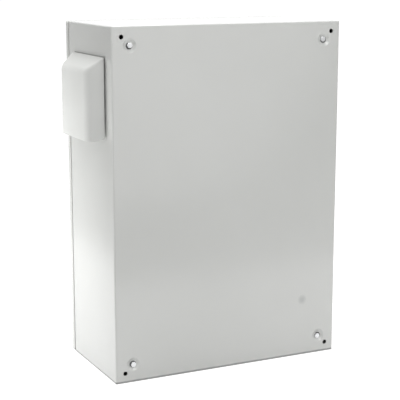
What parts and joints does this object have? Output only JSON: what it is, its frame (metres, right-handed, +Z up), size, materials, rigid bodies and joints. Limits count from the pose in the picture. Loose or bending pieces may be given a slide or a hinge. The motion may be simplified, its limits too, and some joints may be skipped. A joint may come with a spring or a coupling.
{
  "type": "outdoor steel enclosure",
  "caption": "Wall-mounted sheet-steel enclosure with a hinged door, quarter-turn locks, a mounting plate inside and a vent under a rain hood on one side.",
  "frame": {"origin": "centre of the rectangle of wall holes, on the back face that lies against the wall", "axes": "+Z up, +Y out of the back towards the wall so that the door faces -Y, +X to the right seen from the door side, where the vent hood is"},
  "size_m": [0.536, 0.2535, 0.7],
  "materials": {
    "paint": "light grey powder coat, semi-gloss, finely textured",
    "moulded_plastic": "light grey moulded, matt",
    "zinc_fittings": "bright zinc plated",
    "galvanised_sheet": "hot-dip galvanised sheet",
    "lock_metal": "satin nickel on cast zinc",
    "rubber": "matt black",
    "grey_nylon": "light grey moulded sealing washer",
    "foam_seal": "foamed in place, dull dark grey",
    "filter_fibre": "white needled fibre"
  },
  "bodies": {
    "enclosure": {"body_wrap": "paint", "top_cap": "paint", "bottom_cap": "paint", "gland_plate": "paint", "vent_base": "moulded_plastic", "vent_filter_frame": "moulded_plastic", "vent_hood": "moulded_plastic", "plate_bolts": "zinc_fittings", "plate_spacers": "zinc_fittings", "plate_nuts": "zinc_fittings", "gland_studs": "zinc_fittings", "gland_nuts": "zinc_fittings", "earth_stud": "zinc_fittings", "earth_nuts": "zinc_fittings", "hinge_bracket_upper": "zinc_fittings", "hinge_bracket_lower": "zinc_fittings", "hinge_screws": "zinc_fittings", "vent_screws": "zinc_fittings", "vent_nuts": "zinc_fittings", "mounting_plate": "galvanised_sheet", "hinge_pin_upper": "lock_metal", "hinge_pin_lower": "lock_metal", "gland_gasket": "rubber", "vent_gasket": "rubber", "bolt_seals": "grey_nylon", "vent_filter": "filter_fibre"},
    "door": {"door_panel": "paint", "door_seal": "foam_seal", "door_rail_left": "paint", "door_rail_right": "paint", "hinge_leaf_upper": "paint", "hinge_leaf_lower": "paint", "door_earth_stud": "zinc_fittings", "door_earth_nuts": "zinc_fittings", "lock_housing_upper": "lock_metal", "lock_housing_lower": "lock_metal", "lock_nut_upper": "zinc_fittings", "lock_nut_lower": "zinc_fittings"},
    "lock_upper": {"lock_core_upper": "lock_metal", "lock_cam_upper": "zinc_fittings", "cam_screw_upper": "zinc_fittings"},
    "lock_lower": {"lock_core_lower": "lock_metal", "lock_cam_lower": "zinc_fittings", "cam_screw_lower": "zinc_fittings"}
  },
  "joints": [
    {"name": "door_swing", "type": "hinge", "parent": "enclosure", "child": "door", "pos_m": [-0.243, -0.243, 0], "axis": [0, 0, -1], "range_deg": [0, 120]},
    {"name": "lock_upper_turn", "type": "hinge", "parent": "door", "child": "lock_upper", "pos_m": [0.202, -0.243, 0.2], "axis": [0, -1, 0], "range_deg": [0, 90]},
    {"name": "lock_lower_turn", "type": "hinge", "parent": "door", "child": "lock_lower", "pos_m": [0.202, -0.243, -0.2], "axis": [0, -1, 0], "range_deg": [0, 90]}
  ]
}
